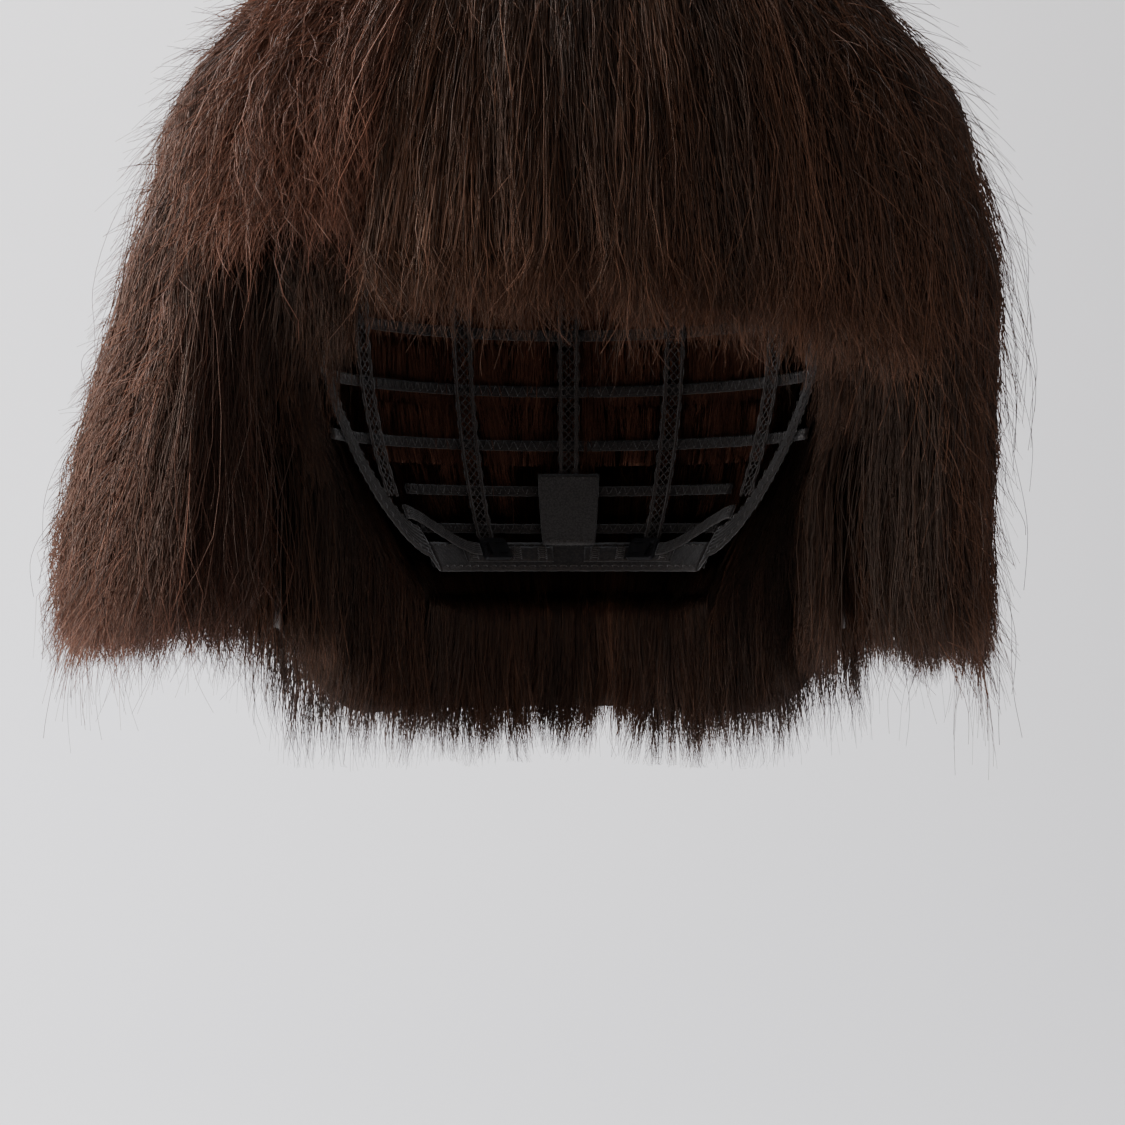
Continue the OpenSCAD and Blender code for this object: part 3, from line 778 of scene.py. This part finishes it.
# The third number darkens strands that end in the inner layers: painted shade for the inside of the
# hair.
SHADE, SHADE_VARIES, DEEP_LAYER_PAINTED_SHADE, SHADOW_HALF = 0.38, 0.14, 0.20, 17


def kept_in(p, margin):
    """Pulls points back inside the CAD part's box, plus a margin for hair that stands proud."""
    lo, hi = np.array(CAD_BOX[0]) - margin, np.array(CAD_BOX[1]) + margin
    return np.clip(p, lo, hi)


def make_lock(name, nodes, span, layers, hem, count, roots, material, slot, seed, **style):
    """Strands for one block of hair, in as many pieces as keep each mesh light."""
    style = {**STYLE, **style}
    rng = np.random.default_rng(seed)
    parts = math.ceil(count / MOST_STRANDS)
    cuts = np.linspace(span[0], span[1], parts + 1)
    for part in range(parts):
        n = count // parts
        a = rng.uniform(cuts[part], cuts[part + 1], n)
        hem_a = hem(a) if callable(hem) else np.full(n, hem)
        s_end = layers(rng, n)
        w_root = roots(rng, s_end)
        p, far, tone = strand_paths(rng, a, s_end, w_root, hem_a, style)
        r = STRAND_R * rng.uniform(0.65, 1.3, n)[:, None] * np.clip(far / TAPER_RUN, 0.3, 1)
        shade = SHADE + style["tone"] + tone + rng.normal(0, SHADE_VARIES, n)
        # Strands that end nearer the head are darker: painted shade.
        shade -= DEEP_LAYER_PAINTED_SHADE * (1 - s_end)
        shade -= style["shadow"] * smooth(1 - np.abs(side_of(a) - CURTAIN_FRONT) / SHADOW_HALF)
        # The tips are made lighter: partly drier fibre, partly painted highlight where the tips
        # catch the light.
        dry_and_lit_tip = style["tips"] * rng.uniform(0.2, 1.6, n)[:, None] * np.exp(-far / DRY_AND_LIT_TIP_RUN)
        shade = np.clip(shade[:, None] + dry_and_lit_tip, 0, 1)
        mesher = Mesher()
        mesher.tubes(kept_in(p, HAIR_MARGIN), r, shade=shade)
        label = name if parts == 1 else f"{name}_{part + 1}"
        mesher.build(label, [material], nodes, slot)


def outer_layers(low):
    """Layers of an outer block, crowded towards the outer face."""

    def pick(rng, n):
        return np.clip(1 - (1 - low) * rng.beta(0.75, 1.9, n), low, 1.0)

    return pick


def under_layers(high):
    """Layers of an under block, with many at the inner face, which shows past the head."""
    face_share, face = 0.45, 0.12

    def pick(rng, n):
        at_face = rng.random(n) < face_share
        return np.where(at_face, rng.uniform(0.0, face, n), rng.uniform(0, high, n))

    return pick


ROW_HEM = 0.150


def crown_roots(rows):
    """Roots at the crown for the outer layers, and in lower rows for those beneath."""
    rows_at = rows_w(tuple(rows) + TOP_ROWS, ROW_HEM)

    def pick(rng, s_end):
        n = len(s_end)
        crown = rng.uniform(0.012, 0.13, n)
        low = rng.choice(rows_at, n)
        return np.where(rng.random(n) < smooth((s_end - 0.15) / 0.6) * 0.92, crown, low)

    return pick


def row_roots(rows):
    """Roots in weft rows: the lower the row, the nearer the head its hair lies."""
    order = np.sort(rows_w(rows, ROW_HEM))[::-1]

    def pick(rng, s_end):
        rank = np.clip(s_end / 0.45 + rng.normal(0, 0.25, len(s_end)), 0, 0.999)
        return order[(rank * len(order)).astype(int)] + rng.normal(0, 0.004, len(s_end))

    return pick


def fringe_hem(a):
    return HEM_FRINGE + FRINGE_DROP * smooth(a / TAB_FRONT) - 0.003 * smooth(-a / TIER_FRONT)


def under_hem(a):
    return mix(HEM_EAR, HEM_NAPE, smooth((side_of(a) - TAB_BACK) / 44))


BACK_RUN = 30


def back_hem(side_hem):
    return lambda a: mix(side_hem, HEM_BACK, smooth((side_of(a) - BACK_START) / BACK_RUN))


def temple_hem(a):
    return HAIR_LEVEL + mix(0.006, 0.045, smooth((side_of(a) - TEMPLE_FRONT - 2) / 24))


def make_hair():
    under, inner = under_layers(0.5), row_roots(BACK_ROWS + NAPE_ROWS)
    outer = outer_layers(0.34)
    temple_roots = row_roots(FRINGE_ROWS + TOP_ROWS[:2])
    make_lock(
        "fringe_strands", ["fringe_hair"], (-TIER_FRONT, CURTAIN_FRONT), outer_layers(0.0),
        fringe_hem, 9300, crown_roots(FRINGE_ROWS), HAIR, "hair", 11, frizz=1.3, tips=0.3, cell=4.0,
        ragged=0.0032, spread=1.5,
    )
    make_lock(
        "tier_strands", ["fringe_tier"], (-CURTAIN_FRONT, -TIER_FRONT), outer_layers(0.25),
        HEM_RIGHT, 3100, crown_roots(FRINGE_ROWS), HAIR_LIT, "hair_lit", 12, ragged=0.0065,
        frizz=2.4, cut=HEM_TIER - 0.002,
    )
    # Both temple blocks are toned darker: painted shade, as they hang under the fringe and tier.
    make_lock(
        "temple_strands_right", ["temple_hair_right"], (-TAB_FRONT, -TEMPLE_FRONT), under,
        temple_hem, 1600, temple_roots, HAIR, "hair", 13, whorl=0.0, tone=-0.12,
    )
    make_lock(
        "temple_strands_left", ["temple_hair_left"], (CURTAIN_FRONT, TAB_FRONT), under,
        temple_hem, 700, temple_roots, HAIR, "hair", 22, whorl=0.0, tone=-0.12,
    )
    make_lock(
        "side_strands_right", ["side_hair_right"], (-BACK_START, -CURTAIN_FRONT), outer,
        HEM_RIGHT, 9300, crown_roots(SIDE_ROWS), HAIR_LIT, "hair_lit", 14, frizz=2.4,
        ragged=0.0045, spread=2.2, clump=0.45, shadow=0.3,
    )
    make_lock(
        "side_strands_left", ["side_hair_left"], (CURTAIN_FRONT, BACK_START), outer,
        HEM_LEFT, 6200, crown_roots(SIDE_ROWS), HAIR, "hair", 15, frizz=1.3, shadow=0.28,
    )
    back = (("left", (BACK_START, 180)), ("right", (180, 360 - BACK_START)))
    for (name, span), hem, seed in zip(back, (HEM_LEFT, HEM_RIGHT), (16, 17)):
        make_lock(
            f"back_strands_{name}", [f"back_hair_{name}"], span, outer, back_hem(hem), 6200,
            crown_roots(BACK_ROWS[3:]), HAIR, "hair", seed, frizz=1.3,
        )
    sides = (("left", (TAB_FRONT, BACK_START)), ("right", (-BACK_START, -TAB_FRONT)))
    # The under hair is toned a little darker: painted shade beneath the outer hair.
    for (name, span), seed in zip(sides, (18, 19)):
        make_lock(
            f"under_strands_{name}", [f"under_hair_{name}"], span, under, under_hem, 3100,
            row_roots(SIDE_ROWS), HAIR, "hair", seed, whorl=0.0, tone=-0.05, ragged=0.004,
        )
    for (name, span), seed in zip(back, (20, 21)):
        # The nape hair is toned a little darker: painted shade beneath the outer hair.
        make_lock(
            f"nape_strands_{name}", [f"nape_hair_{name}"], span, under, under_hem, 3100,
            inner, HAIR, "hair", seed, whorl=0.0, tone=-0.05, ragged=0.004,
        )
        # The lining hair is lighter, with tone 0.3 and the lit fibre: painted light for the inside
        # of the cap.
        make_lock(
            f"lining_strands_{name}", [f"back_hair_{name}"], span, lining_layers, HEM_NAPE, 3100,
            any_roots, HAIR_LIT, "hair", seed + 10, whorl=0.0, cut=0.085, ragged=0.008, tone=0.3,
        )


def lining_layers(rng, n):
    """Hair that lies on the weft rows, as seen from inside the cap."""
    return rng.uniform(0.01, 0.12, n)


def any_roots(rng, s_end):
    """Roots in every weft row behind the ears."""
    return rng.choice(rows_w(BACK_ROWS + TOP_ROWS[:2], ROW_HEM), len(s_end))


def underlay(mesher, a0, a1, s, low, high, hem):
    """A thin sheet inside the hair, for the many fibres that nobody can tell apart, in the darkest
    fibre tone: painted shade for the hair's deep inside.
    """
    a = azimuths(a0, a1, 2.0)
    v = np.linspace(0, 1, 25)[None, :]
    hem_a = (hem(a) if callable(hem) else 0 * a + hem)[:, None]
    w = mix(low, w_at_depth(hem_a - high, hem_a), v)
    az = a[:, None] + 0 * w
    layer = s * smooth((w - low + 0.1) / 0.24)
    ripple = 0.0004 * np.sin(np.radians(az) * 210) * np.sin(9 * v + az)
    face = hair_point(az, w, layer, hem_a + 0 * w)
    radial = side_ways(face)[0]
    out = radial * (ripple + 0.0002)[..., None]
    # Shade 0.05 is the dark end of the fibre ramp: painted shade.
    mesher.shell(face + out, face - out + radial * (2 * ripple)[..., None], shade=0.05)


def make_underlays():
    for name, node, a0, a1, s, hem in (
        ("fringe", "fringe_hair", -TIER_FRONT, CURTAIN_FRONT, 0.55, fringe_hem),
        ("side_right", "side_hair_right", -BACK_START, -TAB_FRONT, 0.60, HEM_RIGHT),
        ("side_left", "side_hair_left", TAB_FRONT, BACK_START, 0.60, HEM_LEFT),
        ("back_left", "back_hair_left", BACK_START, 180, 0.60, back_hem(HEM_LEFT)),
        ("back_right", "back_hair_right", 180, 360 - BACK_START, 0.60, back_hem(HEM_RIGHT)),
        ("under_left", "under_hair_left", TAB_FRONT, BACK_START, 0.22, under_hem),
        ("under_right", "under_hair_right", -BACK_START, -TAB_FRONT, 0.22, under_hem),
        ("nape_left", "nape_hair_left", BACK_START, 180, 0.22, under_hem),
        ("nape_right", "nape_hair_right", 180, 360 - BACK_START, 0.22, under_hem),
    ):
        mesher = Mesher()
        low, high = (0.10, 0.013) if s > 0.5 else (0.70, 0.007)
        underlay(mesher, a0, a1, s, low, high, hem)
        mesher.build(f"{name}_underlay", [HAIR], [node], "hair")


def outer_hem(a):
    """Depth of the outermost hair's hem all the way round, for loose hairs."""
    a = (a + 180) % 360 - 180
    side = np.where(a < 0, HEM_RIGHT, HEM_LEFT)
    behind = mix(side, HEM_BACK, smooth((side_of(a) - BACK_START) / BACK_RUN))
    hem = np.where(side_of(a) > BACK_START, behind, side)
    hem = np.where(side_of(a) < CURTAIN_FRONT, fringe_hem(a), hem)
    return np.where((a > -CURTAIN_FRONT) & (a < -TIER_FRONT), HEM_TIER, hem)


def make_crown():
    """Hair at the whorl: it rises from the closure and falls over all round."""
    rng = np.random.default_rng(31)
    n = 1500
    a = rng.uniform(0, 360, n)
    u = np.linspace(0, 1, 9)[None, :]
    reach = rng.uniform(0.10, 0.34, n)[:, None]
    start = rng.uniform(0.0, 0.05, n)[:, None]
    w = start + reach * u
    s = smooth(u / 0.3) * rng.uniform(0.85, 1.0, n)[:, None]
    az = a[:, None] + WHORL_TURN * np.exp(-w / WHORL_RUN) + rng.normal(0, 2, n)[:, None] * u
    p = hair_point(az, w, s, np.full((n, 1), HEM_BACK))
    p = scattered(rng, p, w, 0.006, 0.1, 0.06)
    far = lengths(p)[1]
    r = 0.00013 * np.clip(far / 0.02, 0.25, 1)
    shade = np.clip(0.36 + rng.normal(0, 0.12, n), 0, 1)[:, None]
    mesher = Mesher()
    mesher.tubes(p, r, shade=shade + 0 * u)
    mesher.build("crown_strands", [HAIR], ["crown_hair"], "hair")


def make_flyaways():
    """Broken and loose hairs that stand off the surface, most of them on the frizzed right side."""
    rng = np.random.default_rng(41)
    points, start_layer, most_proud, most_lean = 8, 0.985, 0.0125, 78
    for name, lo, hi, n, tilt, longest, material, slot in (
        ("loose_hairs_right_1", -82.0, -30.0, 3900, 36, 0.028, HAIR_LIT, "hair_lit"),
        ("loose_hairs_right_2", -125.0, -82.0, 3900, 42, 0.036, HAIR_LIT, "hair_lit"),
        ("loose_hairs_left", 35.0, 125.0, 3400, 26, 0.034, HAIR, "hair"),
        ("loose_hairs_front", -30.0, 35.0, 1900, 12, 0.018, HAIR, "hair"),
        ("loose_hairs_back", 125.0, 235.0, 3400, 26, 0.028, HAIR, "hair"),
    ):
        a = rng.uniform(lo, hi, n)
        hem = np.where(side_of(a) < CURTAIN_FRONT, HEM_RIGHT, outer_hem(a))
        low = w_at_depth(outer_hem(a), hem)
        w = rng.uniform(0.10, 1.0, n) ** 0.65 * low
        hem, ones = hem[:, None], np.ones((n, 1))
        start = hair_point(a[:, None], w[:, None], start_layer * ones, hem)
        down = hair_point(a[:, None], w[:, None] + 0.02, start_layer * ones, hem) - start
        down /= np.linalg.norm(down, axis=2, keepdims=True)
        side = side_ways(start)[1]
        out = np.cross(down, side)
        lean = np.radians(np.minimum(np.abs(rng.normal(0, tilt, n)), most_lean))[:, None, None]
        turn = np.radians(rng.normal(0, 0.8 * tilt, n))[:, None, None]
        length = longest * rng.beta(1.6, 2.6, n)[:, None, None]
        length = np.minimum(length, most_proud / (np.sin(lean) + 1e-6))
        u = np.linspace(0, 1, points)[None, :, None]
        bend = rng.normal(0, 0.30, (n, 1, 1)) * u**2
        bend = bend + 0.05 * rng.normal(0, 1, (n, 1, 1)) * np.sin(7 * u)
        step = down * np.cos(lean) * np.cos(turn) + out * np.sin(lean) + side * np.sin(turn)
        p = start + length * (step * u + side * bend + (down * 0.25 - out * 0.12) * u**2)
        r = rng.uniform(0.00008, 0.00014, n)[:, None] * np.linspace(1, 0.5, points)[None, :]
        shade = rng.uniform(0.2, 0.85, n)[:, None]
        mesher = Mesher()
        mesher.tubes(kept_in(p, STRAY_MARGIN), r, shade=shade + 0 * r)
        mesher.build(name, [material], [], slot)


def make_strays():
    """Single long hairs that hang clear of the bob."""
    rng = np.random.default_rng(43)
    n = 110
    at_side = rng.random(n) < 0.75
    beside = rng.choice([-1, 1], n) * rng.uniform(60, 120, n)
    a = np.where(at_side, beside, rng.uniform(120, 240, n))
    hem = np.where(side_of(a) < CURTAIN_FRONT, HEM_RIGHT, outer_hem(a))
    u = np.linspace(0, 1, 22)[None, :]
    w0 = rng.uniform(0.5, 1.6, n)
    drop = rng.uniform(0.035, 0.10, n)
    w = w0[:, None] + (drop / 0.12)[:, None] * u
    p = hair_point(a[:, None] + rng.normal(0, 5, n)[:, None] * u, w, 0.99 + 0 * w, hem[:, None])
    radial, side = side_ways(p)
    proud = rng.uniform(0.003, 0.014, n)[:, None] * smooth(u * 1.2)
    size = rng.uniform(0.001, 0.003, n)[:, None]
    turns, phase = rng.uniform(4, 11, n)[:, None], rng.uniform(0, 6, n)[:, None]
    wave = size * np.sin(u * turns + phase)
    p = p + radial * (proud + 0.5 * wave)[..., None] + side * (wave * 1.5)[..., None]
    lowest = CAD_BOX[0][2] - STRAY_MARGIN
    p[..., 2] = np.maximum(p[..., 2], lowest + 0.004 * rng.random(n)[:, None])
    shade = rng.uniform(0.2, 0.6, n)[:, None]
    mesher = Mesher()
    mesher.tubes(kept_in(p, STRAY_MARGIN), 0.00010, shade=shade + 0 * u)
    mesher.build("stray_hairs", [HAIR], [], "hair")


make_hair()
make_underlays()
make_crown()
make_flyaways()
make_strays()

# ---------------------------------------------------------------- the stage

AIM = Vector((0, 0, -0.05))

def add_area(name, place, size, power, colour):
    """A soft rectangular light aimed at the wig."""
    data = bpy.data.lights.new(name, "AREA")
    data.shape = "RECTANGLE"
    data.size, data.size_y = size
    data.energy = power
    data.color = colour
    o = bpy.data.objects.new(name, data)
    o.location = place
    o.rotation_euler = (AIM - o.location).to_track_quat("-Z", "Y").to_euler()
    bpy.context.scene.collection.objects.link(o)


def make_stage():
    """A pale sweep of paper, floor and backdrop in one, and the lights."""
    floor_z, top_z, near, depth, half, bend = -0.42, 3.5, -12.0, 1.3, 9.0, 0.6
    turn = np.linspace(0, math.pi / 2, 12)
    ys = [near, *(depth - bend + bend * np.sin(turn)), depth]
    zs = [floor_z, *(floor_z + bend - bend * np.cos(turn)), top_z]
    verts = [(x, y, z) for y, z in zip(ys, zs) for x in (-half, half)]
    faces = [(2 * i, 2 * i + 1, 2 * i + 3, 2 * i + 2) for i in range(len(ys) - 1)]
    me = bpy.data.meshes.new("backdrop")
    me.from_pydata(verts, [], faces)
    for f in me.polygons:
        f.use_smooth = True
    o = bpy.data.objects.new("backdrop", me)
    bpy.context.scene.collection.objects.link(o)
    m, nt, p = new_material("pale_paper", 0.9, 0.2)
    tone = texture(nt, "ShaderNodeTexNoise", 0.9, "Fac")
    colour_by(nt, p, tone, [(0.3, (0.76, 0.76, 0.80)), (0.7, (0.80, 0.79, 0.80))])
    me.materials.append(m)
    add_area("window_light", (-1.3, -0.25, 0.35), (0.9, 1.2), 50, (1.0, 0.97, 0.94))
    add_area("room_light", (0.5, -1.4, 0.35), (1.2, 1.0), 7, (0.92, 0.95, 1.0))
    add_area("top_light", (0, 0.3, 1.3), (1.4, 1.4), 9, (1.0, 0.98, 0.95))
    add_area("paper_light", (-1.4, 0.55, 1.2), (1.4, 0.6), 38, (0.96, 0.98, 1.0))
    world = bpy.data.worlds.new("soft_room")
    world.use_nodes = True
    back = world.node_tree.nodes["Background"]
    back.inputs["Color"].default_value = (0.88, 0.88, 0.92, 1)
    back.inputs["Strength"].default_value = 0.38
    bpy.context.scene.world = world


def make_camera():
    """Level with the wearer's cheeks and straight in front."""
    data = bpy.data.cameras.new("camera")
    data.lens = 71.1
    data.sensor_width = 36.0
    data.clip_start = 0.01
    o = bpy.data.objects.new("camera", data)
    o.location = (-0.002, -0.65, -0.112)
    o.rotation_euler = (math.radians(90), 0, 0)
    bpy.context.scene.collection.objects.link(o)
    bpy.context.scene.camera = o


make_stage()
make_camera()
